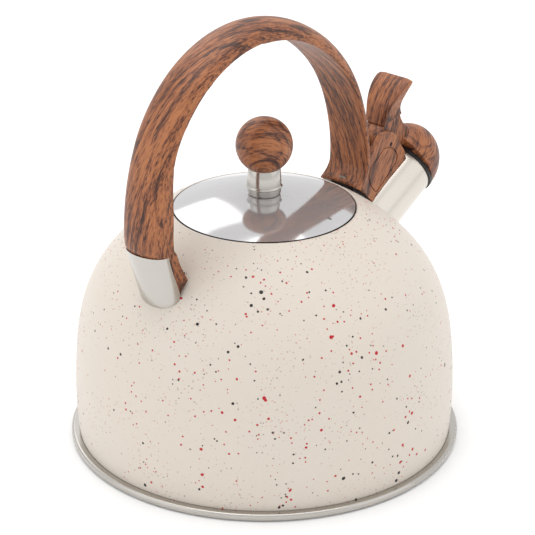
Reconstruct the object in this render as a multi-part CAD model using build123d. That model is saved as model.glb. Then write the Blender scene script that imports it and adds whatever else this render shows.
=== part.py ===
from build123d import *

import os
from math import cos, hypot, radians, sin, sqrt

# A stovetop whistling kettle, in millimetres. +Z is up and +X points the way the spout does.
# The origin is on the kettle's axis, on the flat underside that it stands on.

# Body: a drawn dome of enamelled steel.
body_radius = 101.9
crown_height = 156.5  # where the dome's curve would close over the axis
dome_sink = 18.25  # how far below the base that curve starts
dome_square = 5.37  # how long the wall stays upright before it turns over
dome_round = 0.739  # how flat the crown is
body_wall = 0.9
foot_tuck = 1.25  # how far the wall draws in above the seam
tuck_height = 25.0

# Base: a seamed pan with a heat spreader in a steel cover.
seam_radius = 105.0
seam_low = 0.3
seam_high = 4.3
seam_width = 4.1
seam_roll = 1.6
pan_thickness = 0.8
spreader_radius = 88.0
spreader_thickness = 1.9
cover_thickness = 0.6

# Lid, in a stepped mouth at the top of the dome.
lid_radius = 48.05
lid_edge_height = 0.5
lid_rise = 7.6
lid_sheet = 0.7
mouth_gap = 1.6  # between the lid's edge and the step round it
mouth_step = 1.4
mouth_flange = 6.0
mouth_ledge = 6.65  # width of the step that the seal sits on
mouth_bore = lid_radius + mouth_gap - mouth_ledge
skirt_clearance = 0.8
skirt_depth = 8.0
skirt_sheet = 0.6
skirt_tab = 3.0  # where it is welded under the lid
seal_proud = 0.3
vent_radius = 1.3
vent_reach = 40.4
vent_turn = -81.8  # degrees round from the spout
lid_gap = 0.3
lid_seat = 0.8  # seal between the ledge and the lid's edge

# Knob: a ball on a ferrule, held by one screw from under the lid.
ball_radius = 15.0
ferrule_foot_radius = 8.0
ferrule_radius = 9.6
ferrule_top_radius = 8.5
ferrule_height = 14.4
screw_radius = 2.5
screw_hole_clearance = 0.2
screw_head_radius = 4.6
screw_head_height = 2.6
washer_radius = 7.0
washer_thickness = 1.0
insert_radius = 4.0
insert_length = 10.0

# Spout: a straight tube that leaves the dome square to it.
spout_root_drop = 57.35  # below the crown
spout_root_height = crown_height - spout_root_drop
spout_angle = 28.6
spout_length = 36.4
spout_root_radius = 16.7
spout_mouth_radius = 16.1
spout_wall = 0.8

# Handle: one moulding, an arch with a saddle that sits over the spout.
handle_width = 27.0
handle_bulge = 8.0  # how far the outer side rounds out
arch_base_drop = 6.5  # below the crown
arch_base_height = crown_height - arch_base_drop
arch_rise = 83.5
leg_offset = 20.45  # from the lid's edge to the front leg
leg_thickness = 7.2
leg_lean = 2.0  # how far the front leg leans in below its seat
heel_inset = 6.5  # how far the rear leg stays inside the body's widest radius
heel_thickness = 14.0
least_flat = 0.8  # flat left beside the bulge where the strap is thin
seat_gap = 2.2  # between the saddle and the dome
saddle_width = 19.0
slot_width = 12.8
slot_floor = 5.2  # above the tube
tube_gap = 0.1  # between the saddle and the tube
toe_reach = 7.3
toe_height = 11.0

# Cap: a domed cover with a thumb plate, on a pin through the saddle's two ears.
pin_back = 10.25  # behind the spout's mouth
pin_rise = 32.6  # above the spout's axis
pin_radius = 1.2
pin_running_clearance = 0.05
hub_radius = 5.0
hub_side_gap = 0.4
gasket_gap = 0.3
gasket_thickness = 1.9
gasket_radius = 16.9
gasket_bore = 12.4
cap_radius = 17.7  # half its width
cap_wall = 2.2
hood_forward = 2.6  # middle of the cap's rounded hood, beyond the mouth
hood_lift = 3.8  # and above the spout's axis
hood_reach = 21.2
hood_rise = 20.8
cap_vent_radius = 3.0
thumb_width = 22.6
whistle_plate_thickness = 0.6
whistle_chamber = 4.2
whistle_hole_radius = 1.5

# Torsion spring round the pin.
wire_radius = 0.35
spring_radius = 2.2
spring_turns = 4
spring_gap = 4.6
spring_low_leg = 11.0
spring_high_leg = 4.8

# Brackets and their fixings.
bracket_sheet = 1.2
bracket_height = crown_height - 23.9
heel_foot_height = crown_height - 60.5
heel_foot_inset = 5.5
heel_foot_thickness = 1.43 * heel_thickness
heel_knee_height = crown_height - 40.5
heel_knee_inset = 5.95
heel_knee_thickness = 1.16 * heel_thickness
heel_top_height = crown_height - 23.5
boss_radius = 3.6
boss_height = crown_height - 35.5
boss_length = 7.0
heel_screw_radius = 2.0
heel_screw_head_radius = 3.6
heel_screw_head_height = 2.0
heel_screw_length = 8.6
lug_width = 5.0
lug_length = 8.0
lug_rise = 10.0
lug_clearance = 0.2
saddle_pin_radius = 1.5
saddle_pin_rise = 7.0


def dome_radius(z):
    """Outer radius of the dome at height z."""
    share = (z + dome_sink) / (crown_height + dome_sink)
    return body_radius * (1 - share**dome_square) ** (1 / dome_round)


def dome_height(r):
    """Height at which the dome has the outer radius r."""
    share = (1 - (r / body_radius) ** dome_round) ** (1 / dome_square)
    return share * (crown_height + dome_sink) - dome_sink


step_radius = lid_radius + mouth_gap
step_height = dome_height(step_radius)
ledge_height = step_height - mouth_step
lid_base = ledge_height + lid_gap + lid_seat
lid_top = lid_base + lid_edge_height + lid_rise
knob_base = lid_top
ball_height = knob_base + ferrule_height + sqrt(ball_radius**2 - ferrule_top_radius**2)
leg_x = lid_radius + leg_offset
heel_x = body_radius - heel_inset
root_x = dome_radius(spout_root_height)
spout_frame = Plane(
    origin=(root_x, 0, spout_root_height),
    x_dir=(cos(radians(spout_angle)), 0, sin(radians(spout_angle))),
    z_dir=(0, -1, 0),
)
spout_axis = Axis(spout_frame.origin, spout_frame.x_dir)


def along(a, b):
    """Point a beyond the spout's mouth along its axis and b above the axis, as (x, z)."""
    turn = radians(spout_angle)
    reach = spout_length + a
    x = root_x + reach * cos(turn) - b * sin(turn)
    z = spout_root_height + reach * sin(turn) + b * cos(turn)
    return x, z


pin_x, pin_z = along(-pin_back, pin_rise)


def face_on(plane, edges):
    """Face on a plane, bounded by edges drawn in that plane's own x and y."""
    return make_face([plane * edge for edge in edges])


def spin(points, curves=()):
    """Solid of revolution about Z of a closed outline in r and z, with extra curved edges."""
    edges = [Line(a, b) for a, b in zip(points, points[1:])]
    return revolve(face_on(Plane.XZ, edges + list(curves)), Axis.Z)


def spin_ring(inner, outer, low, high):
    """Flat ring about the kettle's axis."""
    ring = Cylinder(outer, high - low, align=(Align.CENTER, Align.CENTER, Align.MIN))
    if inner > 0:
        ring -= Cylinder(inner, high - low, align=(Align.CENTER, Align.CENTER, Align.MIN))
    return Pos(0, 0, low) * ring


def slab(points, width):
    """Prism across the kettle of an outline given as (x, z) points."""
    outline = make_face(Polyline([(x, 0, z) for x, z in points], close=True))
    return extrude(outline, amount=width / 2, dir=(0, 1, 0), both=True)


def cross_rod(x, z, radius, width):
    """Rod across the kettle, centred on its middle plane."""
    return Pos(x, 0, z) * Rot(90, 0, 0) * Cylinder(radius, width)


def spout_solid(stations):
    """Solid of revolution about the spout's axis, from (distance past the mouth, radius) stations."""
    outline = [(spout_length + stations[0][0], 0)]
    outline += [(spout_length + a, r) for a, r in stations]
    outline += [(spout_length + stations[-1][0], 0)]
    face = make_face(spout_frame * Polyline(outline, close=True))
    return revolve(face, spout_axis)


def dome_curve(outset=0.0, top_radius=step_radius):
    """Edge that follows the dome from the seam to a radius, moved out along its own normals."""
    top = dome_height(top_radius)
    heights = [tuck_height, 45, 65, 80, 95, 108, 118, 126, top]
    heights = [z for z in heights if z < top] + [top]
    points = [(dome_radius(seam_high) - foot_tuck + outset, seam_high)]
    for z in heights:
        slope = (dome_radius(z + 0.01) - dome_radius(z - 0.01)) / 0.02
        long = hypot(1, slope)
        points.append((dome_radius(z) + outset / long, z - outset * slope / long))
    return Spline(points)


def dome_solid(outset=0.0):
    """Solid dome out to the given distance from the body's outer face."""
    side = dome_curve(outset, mouth_bore)
    low = side @ 0
    high = side @ 1
    return spin([(low.X, low.Y), (low.X, 0), (0, 0), (0, high.Y), (high.X, high.Y)], [side])


def make_body_shell():
    outer = dome_curve()
    inner = dome_curve(-body_wall)
    outer_low, outer_high = outer @ 0, outer @ 1
    inner_low, inner_high = inner @ 0, inner @ 1
    flange_low = ledge_height - mouth_flange
    mouth = [
        (outer_high.X, outer_high.Y),
        (step_radius - body_wall, outer_high.Y),
        (step_radius - body_wall, ledge_height),
        (mouth_bore, ledge_height),
        (mouth_bore, flange_low),
        (mouth_bore + body_wall, flange_low),
        (mouth_bore + body_wall, ledge_height - body_wall),
        (inner_high.X, ledge_height - body_wall),
        (inner_high.X, inner_high.Y),
    ]
    foot = Line((outer_low.X, outer_low.Y), (inner_low.X, inner_low.Y))
    shell = spin(mouth, [outer, inner, foot])
    bore = spout_root_radius - spout_wall
    return shell - spout_solid([(-spout_length - 30, bore), (0, bore)])


def make_base_pan():
    """Pan whose edge is rolled with the foot of the body."""
    inner = seam_radius - seam_width
    roll = spin_ring(inner, seam_radius, seam_low, seam_high)
    rims = roll.edges().filter_by(GeomType.CIRCLE).group_by(SortBy.RADIUS)[-1]
    floor_low = cover_thickness + spreader_thickness
    return spin_ring(0, inner, floor_low, floor_low + pan_thickness) + fillet(rims, seam_roll)


def make_heat_spreader():
    return spin_ring(0, spreader_radius, cover_thickness, cover_thickness + spreader_thickness)


def make_base_cover():
    high = cover_thickness + spreader_thickness
    cup = spin_ring(0, spreader_radius + cover_thickness, 0, high)
    cup -= spin_ring(0, spreader_radius, cover_thickness, high)
    return fillet(cup.edges().filter_by(GeomType.CIRCLE).sort_by(Axis.Z)[0], 0.5)


def lid_curve(drop):
    """Arc of the lid's sheet from its edge to the axis, a distance below the outer face."""
    edge = lid_base + lid_edge_height - drop
    sphere = (lid_radius**2 + lid_rise**2) / (2 * lid_rise)
    half = lid_radius / 2
    sag = sphere - sqrt(sphere**2 - half**2)
    return ThreePointArc((lid_radius, edge), (half, edge + lid_rise - sag), (0, edge + lid_rise))


def lid_under(r):
    """Height of the lid's inner face at the radius r."""
    sphere = (lid_radius**2 + lid_rise**2) / (2 * lid_rise)
    return lid_top - lid_sheet - (sphere - sqrt(sphere**2 - r**2))


def make_lid_disc():
    top = lid_curve(0)
    under = lid_base + lid_edge_height - lid_sheet
    rim = Line((lid_radius, lid_base + lid_edge_height), (lid_radius, under))
    middle = Line((0, lid_top), (0, lid_top - lid_sheet))
    profile = [top, lid_curve(lid_sheet), rim, middle]
    disc = revolve(face_on(Plane.XZ, profile), Axis.Z)
    disc -= Cylinder(screw_radius + screw_hole_clearance, 3 * lid_top)
    turn = radians(vent_turn)
    vent = Cylinder(vent_radius, 3 * lid_top)
    return disc - Pos(vent_reach * cos(turn), vent_reach * sin(turn), 0) * vent


def make_lid_skirt():
    outer = mouth_bore - skirt_clearance
    inner = outer - skirt_sheet
    low = ledge_height - skirt_depth
    tab = inner - skirt_tab
    outline = [
        (inner, low),
        (outer, low),
        (outer, lid_under(outer)),
        (tab, lid_under(tab)),
        (tab, lid_under(tab) - skirt_sheet),
        (inner, lid_under(inner) - skirt_sheet),
        (inner, low),
    ]
    return spin(outline)


def make_lid_seal():
    inner = mouth_bore - skirt_clearance
    outer = lid_radius + seal_proud
    low = ledge_height + lid_gap
    high = lid_base + lid_edge_height - lid_sheet
    return spin([(inner, low), (outer, low), (outer, high), (inner, high), (inner, low)])


def make_knob_ferrule():
    foot = knob_base
    waist = knob_base + ferrule_height * 0.3
    top = knob_base + ferrule_height
    stations = [
        (ferrule_foot_radius, foot),
        (ferrule_foot_radius + 0.7, foot + 0.8),
        (ferrule_radius - 0.4, waist - 0.5),
        (ferrule_radius, waist),
        (ferrule_radius - 0.2, waist + 3.5),
        (ferrule_top_radius, top),
    ]
    bore = screw_radius + screw_hole_clearance
    side = Spline([(r, z) for r, z in stations])
    body = spin([(ferrule_top_radius, top), (bore, top), (bore, foot), (ferrule_foot_radius, foot)], [side])
    return body - Pos(0, 0, ball_height) * Sphere(ball_radius)


def insert_base():
    """Height of the threaded insert's lower face, flush with the underside of the ball."""
    return ball_height - sqrt(ball_radius**2 - insert_radius**2)


def make_knob_ball():
    ball = Pos(0, 0, ball_height) * Sphere(ball_radius)
    return ball - spin_ring(0, insert_radius, insert_base() - 2, insert_base() + insert_length)


def make_knob_insert():
    return spin_ring(screw_radius, insert_radius, insert_base() + 0.2, insert_base() + insert_length)


def make_knob_washer():
    high = lid_under(washer_radius)
    return spin_ring(screw_radius + screw_hole_clearance, washer_radius, high - washer_thickness, high)


def make_knob_screw():
    seat = lid_under(washer_radius) - washer_thickness
    head = spin_ring(0, screw_head_radius, seat - screw_head_height, seat)
    head -= spin_ring(0, 1.5, seat - screw_head_height, seat - screw_head_height + 1.3)
    return head + spin_ring(0, screw_radius, seat, insert_base() + insert_length - 1)


def tube_shape(outset, reach=0.0):
    """Solid out to the tube's outer face moved out by outset, from inside the dome past the mouth."""
    root = spout_root_radius + outset
    mouth = spout_mouth_radius + outset
    start = -spout_length
    return spout_solid([(start - 9, root), (start, root), (0, mouth), (reach + 0.01, mouth)])


def make_spout_tube():
    tube = tube_shape(0.0) - tube_shape(-spout_wall, 1.0) - dome_solid()
    return tube.solids().sort_by(SortBy.VOLUME)[-1]


def strap_section(inner, outer, bulge):
    """Face across the strap between an inner and an outer (x, z) point: flat inside, rounded outside."""
    inside = Vector(inner[0], 0, inner[1])
    run = Vector(outer[0], 0, outer[1]) - inside
    plane = Plane(origin=inside, x_dir=run, z_dir=run.cross(Vector(0, 1, 0)))
    half = handle_width / 2
    rise = min(bulge, run.length - least_flat)
    side = run.length - rise
    edges = [
        Line((0, -half), (side, -half)),
        EllipticalCenterArc((side, 0), rise, half, start_angle=-90, arc_size=180),
        Line((side, half), (0, half)),
        Line((0, half), (0, -half)),
    ]
    return face_on(plane, edges)


def arch_point(across, up):
    """Point on the arch, as shares of the reach to each leg and of the arch's rise."""
    reach = leg_x if across > 0 else heel_x
    return across * reach, arch_base_height + up * arch_rise


def heel_sections():
    """Level cuts of the rear leg as pairs of (x, z) points, from inside the dome up to the arch."""
    stations = [
        (heel_foot_inset - dome_radius(heel_foot_height), heel_foot_height, heel_foot_thickness),
        (-heel_x + heel_knee_inset, heel_knee_height, heel_knee_thickness),
        (-heel_x + 0.4, heel_top_height, heel_thickness),
        (-heel_x, arch_base_height, heel_thickness),
    ]
    return [((x + thick, z), (x, z)) for x, z, thick in stations]


# The arch between the legs: inner then outer point, as shares for arch_point.
arch_shape = [
    (-0.832, 0.376, -0.914, 0.420),
    (-0.636, 0.695, -0.697, 0.777),
    (-0.333, 0.883, -0.357, 0.986),
    (0.016, 0.886, 0.039, 0.998),
    (0.450, 0.732, 0.527, 0.824),
    (0.790, 0.457, 0.891, 0.504),
    (0.971, 0.083, 1.066, 0.087),
]


def leg_sections():
    """Sections of the front leg, level cuts from the arch down into the dome."""
    low = arch_base_height - 46
    stations = [(leg_x, low + 36), (leg_x - 0.4 * leg_lean, low + 20), (leg_x - leg_lean, low)]
    return [((x, z), (x + leg_thickness, z)) for x, z in stations]


def make_strap():
    """The arch with both legs, before anything is cut from it."""
    middle = [(arch_point(a, b), arch_point(c, d)) for a, b, c, d in arch_shape]
    pairs = heel_sections() + middle + leg_sections()
    return loft([strap_section(inner, outer, handle_bulge) for inner, outer in pairs])


def make_saddle():
    """The block between the front leg and the spout, with two ears for the cap's pin."""
    low_corner = along(-34.9, 14.0)
    front_corner = along(-2.7, 18.4)
    ear_front = along(-4.7, 36.3)
    ear_tip = along(-11.2, 43.7)
    ear_root = along(-30.3, 38.9)
    outline = [low_corner, front_corner, ear_front, ear_tip, ear_root]
    outline += [(leg_x + 1, ear_root[1]), (leg_x + 1, 100), (low_corner[0], 100)]
    block = slab(outline, saddle_width)
    corners = block.edges().filter_by(Axis.Y).filter_by(lambda e: e.center().X > ear_root[0] + 5)
    upper = corners.filter_by(lambda e: e.center().Z > front_corner[1] - 1)
    return fillet(upper, 1.8) - ear_slot()


def ear_slot():
    """Space between the ears for the cap's hub."""
    floor = spout_mouth_radius + slot_floor
    outline = [along(-31, floor), along(4, floor), along(4, 60), along(-31, 60)]
    return slab(outline, slot_width)


def make_toe():
    """Flared foot of the front leg."""
    tip = leg_x - toe_reach
    tip_z = dome_height(hypot(tip, handle_width / 2)) + seat_gap
    outline = [(leg_x, tip_z + toe_height), (tip, tip_z + 1), (tip, 100), (leg_x + leg_thickness / 2, 100)]
    outline += [(leg_x + leg_thickness / 2, tip_z + toe_height)]
    return slab(outline, handle_width)


def lug_place():
    """Middle of the saddle's weld lug, as (x, height of the dome under it)."""
    x = leg_x - 1.0
    return x, dome_height(x)


def lug_room(height):
    """Clear space round the weld lug."""
    x, z = lug_place()
    return Pos(x, 0, z) * Box(lug_length + 2 * lug_clearance, lug_width + 2 * lug_clearance, height)


def make_handle():
    x, z = lug_place()
    saddle_seat = dome_solid(seat_gap) & Pos(body_radius, 0, 0) * Box(2 * body_radius, 60, 400)
    heel_seat = dome_solid() & Pos(-body_radius, 0, 0) * Box(2 * body_radius, 60, 400)
    solid = make_strap() + make_saddle() + make_toe()
    solid = solid - saddle_seat - heel_seat - tube_shape(tube_gap, 3.0) - bracket_shape()
    solid -= lug_room(2 * lug_rise + 1)
    solid -= cross_rod(x, z + saddle_pin_rise, saddle_pin_radius, 40)
    solid -= cross_rod(pin_x, pin_z, pin_radius, 40)
    solid -= heel_screw_shape(screw_hole_clearance) + heel_boss_shape() + heel_screw_access()
    return solid.solids().sort_by(SortBy.VOLUME)[-1]


def heel_outer(z):
    """Outer face of the rear leg at the height z, on the middle plane."""
    rows = [(pair[1][1], pair[1][0]) for pair in heel_sections()]
    for (z0, x0), (z1, x1) in zip(rows, rows[1:]):
        if z <= z1:
            return x0 + (x1 - x0) * (z - z0) / (z1 - z0)
    return rows[-1][1]


def bracket_shape():
    """Skin of the rear leg's outer side below the bracket's top edge."""
    pairs = heel_sections()[:3]
    outer = loft([strap_section(inner, out, handle_bulge) for inner, out in pairs])
    moved = [[(x + bracket_sheet, z) for x, z in pair] for pair in pairs]
    core = loft([strap_section(inner, out, handle_bulge) for inner, out in moved])
    below = Pos(-body_radius, 0, bracket_height / 2) * Box(2 * body_radius, 2 * body_radius, bracket_height)
    skin = (outer & below) - dome_solid() - core
    return skin.solids().sort_by(SortBy.VOLUME)[-1]


def make_rear_bracket():
    return bracket_shape()


def level_rod(x, z, radius, length):
    """Rod along X from x onwards, on the middle plane."""
    rod = Cylinder(radius, length, align=(Align.CENTER, Align.CENTER, Align.MIN))
    return Pos(x, 0, z) * Rot(0, 90, 0) * rod


def heel_boss_shape():
    """Threaded boss on the inside of the rear bracket."""
    return level_rod(heel_outer(boss_height), boss_height, boss_radius, boss_length) - bracket_shape()


def make_heel_boss():
    boss = heel_boss_shape() - heel_screw_shape(0.0)
    return boss.solids().sort_by(SortBy.VOLUME)[-1]


def heel_screw_shape(clearance):
    """Screw from the inner side of the rear leg into the boss."""
    tip = heel_outer(boss_height) + bracket_sheet + 0.6
    seat = tip + heel_screw_length
    shank = level_rod(tip, boss_height, heel_screw_radius + clearance, heel_screw_length)
    return shank + level_rod(seat, boss_height, heel_screw_head_radius + clearance, heel_screw_head_height)


def heel_screw_access():
    """Counterbore in the inner side of the rear leg, out past the screw's head."""
    seat = heel_outer(boss_height) + bracket_sheet + 0.6 + heel_screw_length
    return level_rod(seat, boss_height, heel_screw_head_radius + screw_hole_clearance, heel_thickness)


def make_heel_screw():
    return heel_screw_shape(0.0)


def make_saddle_lug():
    x, z = lug_place()
    lug = Pos(x, 0, z) * Box(lug_length, lug_width, 2 * lug_rise)
    return lug - dome_solid() - cross_rod(x, z + saddle_pin_rise, saddle_pin_radius, 40)


def make_saddle_pin():
    x, z = lug_place()
    return cross_rod(x, z + saddle_pin_rise, saddle_pin_radius, handle_width - 1.0)


def make_saddle_pad():
    """Soft pad between the saddle and the dome."""
    x, z = lug_place()
    start = leg_x - toe_reach + 2.0
    stop = along(-34.9, 14.0)[0] - 1.5
    span = Pos((start + stop) / 2, 0, z) * Box(stop - start, saddle_width - 3, 60)
    pad = (dome_solid(seat_gap) - dome_solid()) & span
    return (pad - lug_room(60) - tube_shape(tube_gap)).solids().sort_by(SortBy.VOLUME)[-1]


def from_pin(points):
    """Points given from the pin, as (x, z)."""
    return [(pin_x + x, pin_z + z) for x, z in points]


def make_thumb_plate():
    """Curved plate that the thumb pushes back, narrow at the foot and wide at the top."""
    back = from_pin([(-2.3, 11.7), (-1.8, 18.3), (4.8, 27.5), (14.2, 34.5)])
    face = from_pin([(16.6, 32.8), (11.2, 24.9), (10.6, 19.9), (12.2, 16.2)])
    edges = [Spline([(x, 0, z) for x, z in back]), Spline([(x, 0, z) for x, z in face])]
    for (x0, z0), (x1, z1) in ((back[-1], face[0]), (face[-1], back[0])):
        edges.append(Line((x0, 0, z0), (x1, 0, z1)))
    side = extrude(make_face(edges), amount=thumb_width / 2, dir=(0, 1, 0), both=True)
    foot = slot_width / 2 - hub_side_gap
    half = [(foot, 11.0), (foot, 12.5), (foot + 1.9, 18.3), (foot + 4.2, 27.0), (thumb_width / 2, 31.0)]
    half += [(thumb_width / 2, 36.0)]
    front = [(0, y, pin_z + z) for y, z in half] + [(0, -y, pin_z + z) for y, z in reversed(half)]
    return side & extrude(make_face(Polyline(front, close=True)), amount=pin_x + 60, dir=(1, 0, 0))


def make_hub():
    """Narrow web and forked knuckle between the ears, from the thumb plate to the cap."""
    width = slot_width - 2 * hub_side_gap
    web = from_pin([(-9.9, 0.4), (-8.6, 5.2), (-4.4, 9.0), (-2.3, 11.7), (12.2, 16.2), (14.6, 9.2)])
    web += [along(10, cap_radius - 0.3), along(2.4, cap_radius - 0.9), along(-1.8, 22.0), along(-7, 25.5)]
    web += from_pin([(-1.0, -4.6), (-6.0, -4.6)])
    hub = cross_rod(pin_x, pin_z, hub_radius, width) + slab(web, width)
    return hub - cross_rod(pin_x, pin_z, hub_radius + 0.6, spring_gap)


def cap_shape(shrink):
    """Hood of the cap in front of the gasket, drawn in by shrink on every side."""
    x, z = along(hood_forward, hood_lift)
    sizes = (hood_reach - shrink, cap_radius - shrink, hood_rise - shrink)
    hood = Pos(x, 0, z) * Rot(0, -spout_angle, 0) * scale(Sphere(1), by=sizes)
    low = gasket_gap + gasket_thickness
    return hood & spout_solid([(low, 2 * hood_rise), (2 * hood_reach, 2 * hood_rise)])


def cap_hollow():
    """Space inside the hood, as wide as the whistle."""
    inner = cap_radius - cap_wall
    low = gasket_gap + gasket_thickness
    room = spout_solid([(low, inner), (2 * hood_reach, inner)])
    chamber = spout_solid([(low - 3, inner), (whistle_depth(), inner)])
    return cap_shape(cap_wall) & room, chamber


def make_cap_lever():
    hollow, chamber = cap_hollow()
    vent = spout_solid([(0, cap_vent_radius), (2 * hood_reach, cap_vent_radius)])
    solid = make_thumb_plate() + make_hub() + cap_shape(0)
    solid = solid - hollow - chamber - vent
    solid -= cross_rod(pin_x, pin_z, pin_radius + pin_running_clearance, 40)
    return solid.solids().sort_by(SortBy.VOLUME)[-1]


def whistle_depth():
    """Distance past the mouth of the front of the whistle chamber."""
    return gasket_gap + gasket_thickness + whistle_plate_thickness + whistle_chamber


def disc(low, high, radius, bore):
    """Disc with a hole, about the spout's axis."""
    plain = spout_solid([(low, radius), (high, radius)])
    return plain - spout_solid([(low - 1, bore), (high + 1, bore)])


def make_cap_gasket():
    return disc(gasket_gap, gasket_gap + gasket_thickness, gasket_radius, gasket_bore)


def make_whistle_plate():
    low = gasket_gap + gasket_thickness
    return disc(low, low + whistle_plate_thickness, cap_radius - cap_wall, whistle_hole_radius)


def make_whistle_cup():
    low = gasket_gap + gasket_thickness + whistle_plate_thickness
    high = whistle_depth()
    radius = cap_radius - cap_wall
    cup = disc(low, high, radius, whistle_hole_radius)
    hollow = spout_solid([(low - 1, radius - 1.0), (high - whistle_plate_thickness, radius - 1.0)])
    return cup - hollow


def make_hinge_pin():
    return cross_rod(pin_x, pin_z, pin_radius, saddle_width - 0.6)


def make_torsion_spring():
    """Coil round the pin, with one leg down to the saddle and one up to the thumb plate."""
    pitch = 2 * wire_radius + 0.1
    height = spring_turns * pitch
    coil = Helix(pitch=pitch, height=height, radius=spring_radius)
    wire = sweep(Plane(origin=coil @ 0, z_dir=coil % 0) * Circle(wire_radius), path=coil, is_frenet=True)
    low = Plane(origin=coil @ 0, z_dir=-(coil % 0)) * Circle(wire_radius)
    high = Plane(origin=coil @ 1, z_dir=coil % 1) * Circle(wire_radius)
    wire += extrude(low, amount=spring_low_leg) + extrude(high, amount=spring_high_leg)
    return Pos(pin_x, height / 2, pin_z) * Rot(90, 0, 0) * wire


makers = {
    "body_shell": make_body_shell,
    "base_pan": make_base_pan,
    "heat_spreader": make_heat_spreader,
    "base_cover": make_base_cover,
    "lid_disc": make_lid_disc,
    "lid_skirt": make_lid_skirt,
    "lid_seal": make_lid_seal,
    "knob_ferrule": make_knob_ferrule,
    "knob_ball": make_knob_ball,
    "knob_insert": make_knob_insert,
    "knob_washer": make_knob_washer,
    "knob_screw": make_knob_screw,
    "spout_tube": make_spout_tube,
    "handle": make_handle,
    "rear_bracket": make_rear_bracket,
    "heel_boss": make_heel_boss,
    "heel_screw": make_heel_screw,
    "saddle_lug": make_saddle_lug,
    "saddle_pin": make_saddle_pin,
    "saddle_pad": make_saddle_pad,
    "cap_lever": make_cap_lever,
    "cap_gasket": make_cap_gasket,
    "whistle_plate": make_whistle_plate,
    "whistle_cup": make_whistle_cup,
    "hinge_pin": make_hinge_pin,
    "torsion_spring": make_torsion_spring,
}

os.makedirs("parts", exist_ok=True)
for name, make in makers.items():
    export_step(make(), f"parts/{name}.step")
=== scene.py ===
"""The looks of a stovetop whistling kettle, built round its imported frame.

Sizes are in metres, +Z is up and +X points the way the spout does.
"""

import logging
import math
from collections.abc import Callable, Sequence
from dataclasses import dataclass
from enum import Enum
from typing import Protocol

import bmesh
import bpy
import numpy as np
from mathutils import Matrix, Vector


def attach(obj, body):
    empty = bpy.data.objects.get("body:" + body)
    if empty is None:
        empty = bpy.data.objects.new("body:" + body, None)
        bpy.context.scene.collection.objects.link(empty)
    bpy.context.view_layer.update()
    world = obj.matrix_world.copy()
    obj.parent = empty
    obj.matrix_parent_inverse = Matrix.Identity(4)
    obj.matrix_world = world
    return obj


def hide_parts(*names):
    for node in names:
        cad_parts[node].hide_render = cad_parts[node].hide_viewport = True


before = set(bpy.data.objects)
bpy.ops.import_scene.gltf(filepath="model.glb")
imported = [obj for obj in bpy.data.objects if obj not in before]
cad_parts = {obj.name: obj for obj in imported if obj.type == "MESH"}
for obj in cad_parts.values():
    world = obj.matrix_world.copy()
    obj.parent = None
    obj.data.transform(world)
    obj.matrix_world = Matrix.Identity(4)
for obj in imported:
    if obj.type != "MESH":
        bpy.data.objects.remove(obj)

LOG = logging.getLogger("kettle")
MM = 0.001
Colour = tuple[float, float, float, float]
Stops = Sequence[tuple[float, Colour]]


def tint(red: int, green: int, blue: int) -> Colour:
    """Turn a colour as a screen shows it, 0 to 255, into the shader's linear numbers.

    Args:
        red: The red channel.
        green: The green channel.
        blue: The blue channel.

    Returns:
        The linear colour, with full alpha.
    """
    shares = [channel / 255 for channel in (red, green, blue)]
    linear = [s / 12.92 if s <= 0.04045 else ((s + 0.055) / 1.055) ** 2.4 for s in shares]
    return linear[0], linear[1], linear[2], 1.0


# ---------------------------------------------------------------- finishes


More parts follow.
